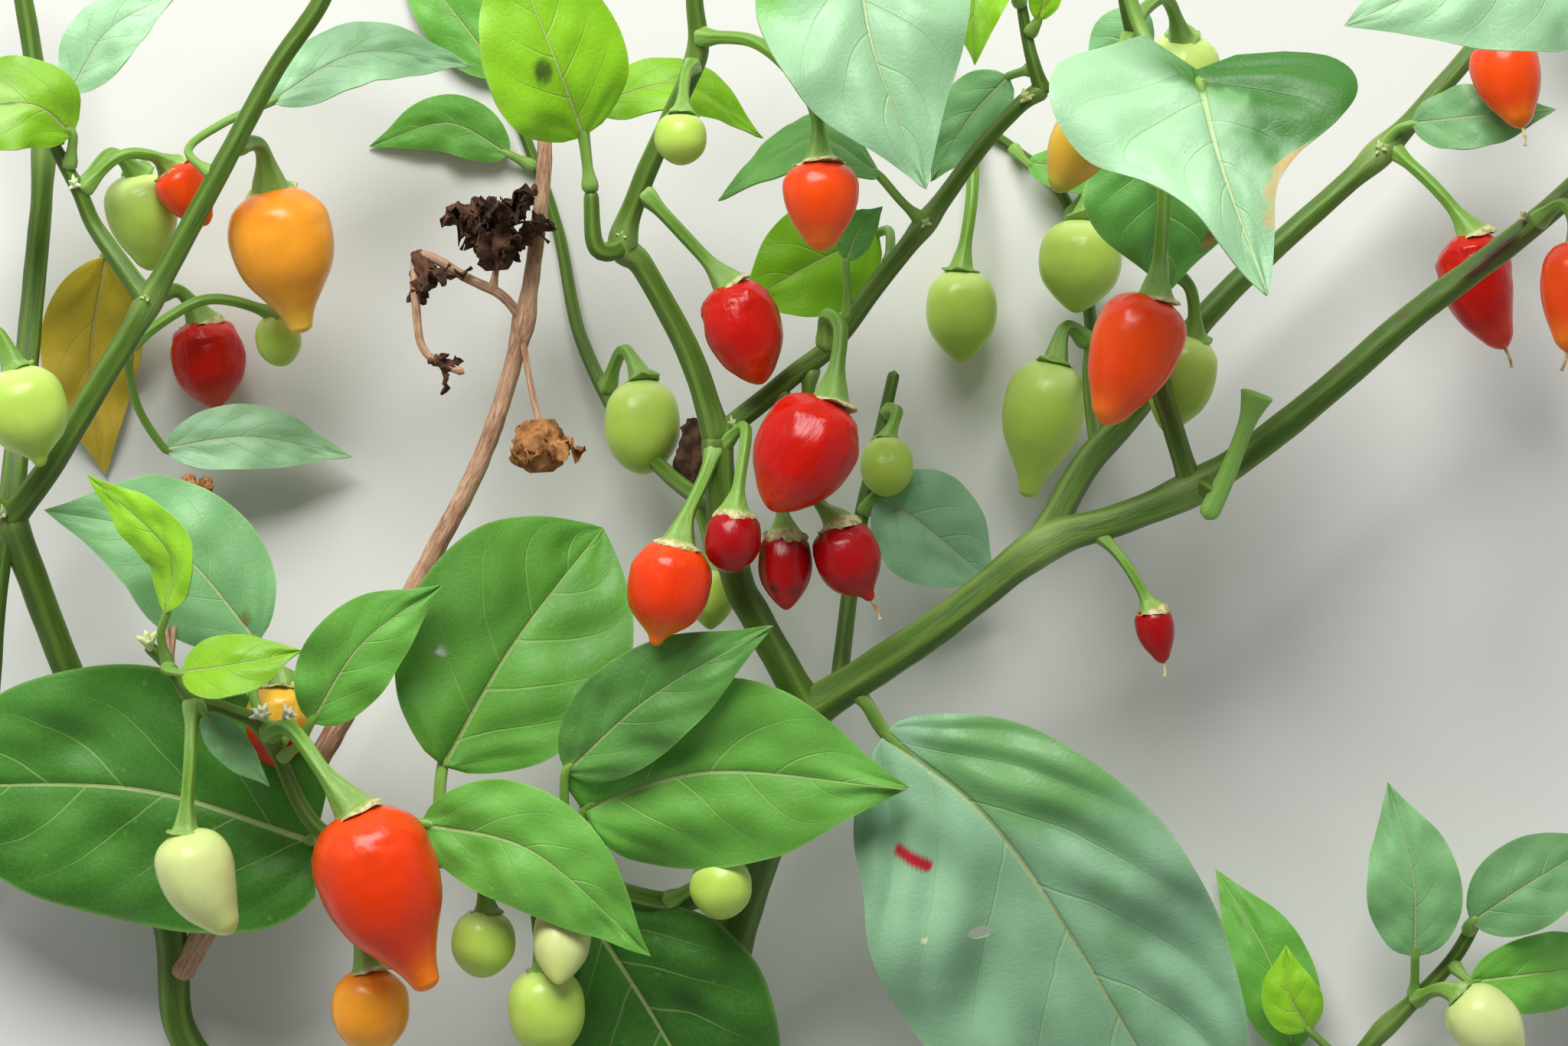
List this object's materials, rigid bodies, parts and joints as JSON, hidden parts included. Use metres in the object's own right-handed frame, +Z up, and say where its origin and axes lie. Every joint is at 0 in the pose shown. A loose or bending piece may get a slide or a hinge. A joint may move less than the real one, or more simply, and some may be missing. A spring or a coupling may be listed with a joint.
{
  "type": "cut chilli pepper branch",
  "caption": "Cut branch system of a chilli pepper plant lying down, with forked green stems, broad leaves and beak-tipped pods from green to red.",
  "frame": {"origin": "middle of the branch's outer box, on the level surface that it lies on", "axes": "+X to the right across the branch, +Y up along it from the cut end, +Z up from the surface, which is towards the picture's camera"},
  "size_m": [0.2428, 0.1952, 0.0793],
  "materials": {
    "green_stem": "satin green bark with paler ridges and brown scars",
    "dead_wood": "dry matt brown",
    "foliage": "soft sheen with paler veins",
    "pod_red": "glossy skin",
    "pod_dark_red": "glossy, slightly wrinkled skin",
    "pod_orange": "glossy skin",
    "pod_green": "satin skin"
  },
  "bodies": {
    "root": {"back_bough": "green_stem", "back_left_shoot": "foliage", "back_twig": "foliage", "dead_twig": "dead_wood", "fork_twig": "foliage", "leaf_behind_upper": "foliage", "leaf_centre": "foliage", "leaf_centre_left": "foliage", "leaf_centre_low": "foliage", "leaf_centre_upper": "foliage", "leaf_fork_rear": "foliage", "leaf_left_rear": "foliage", "leaf_left_small": "foliage", "leaf_left_top": "foliage", "leaf_lower_dark": "foliage", "leaf_lower_left_large": "foliage", "leaf_lower_right_large": "foliage", "leaf_right_back": "foliage", "leaf_right_dark": "foliage", "leaf_right_front": "foliage", "leaf_right_top": "foliage", "leaf_top_dark": "foliage", "leaf_top_front": "foliage", "left_back_twig": "foliage", "left_bough_lower": "green_stem", "left_bough_upper": "green_stem", "left_leader": "green_stem", "left_shoot": "green_stem", "left_shoot_side": "foliage", "left_upper_twig": "foliage", "lower_left_twig": "foliage", "lower_right_shoot": "foliage", "main_stem": "green_stem", "mid_right_twig": "foliage", "pod_dark_middle": "pod_dark_red", "pod_dark_right": "pod_dark_red", "pod_dark_small": "pod_dark_red", "pod_green_centre": "pod_green", "pod_green_left": "pod_green", "pod_green_low_a": "pod_green", "pod_green_low_b": "pod_green", "pod_green_right": "pod_green", "pod_green_round": "pod_green", "pod_orange_front": "pod_orange", "pod_orange_left": "pod_orange", "pod_orange_low": "pod_orange", "pod_orange_top_right": "pod_orange", "pod_pale_left": "pod_green", "pod_red_centre": "pod_red", "pod_red_edge": "pod_red", "pod_red_far_right": "pod_red", "pod_red_large": "pod_red", "pod_red_left_cluster": "pod_red", "pod_red_right": "pod_red", "pod_red_upper": "pod_red", "pod_small_right": "pod_dark_red", "right_leader": "green_stem", "right_leader_tip": "foliage", "right_shoot": "green_stem", "right_shoot_tip": "foliage"}
  },
  "joints": []
}
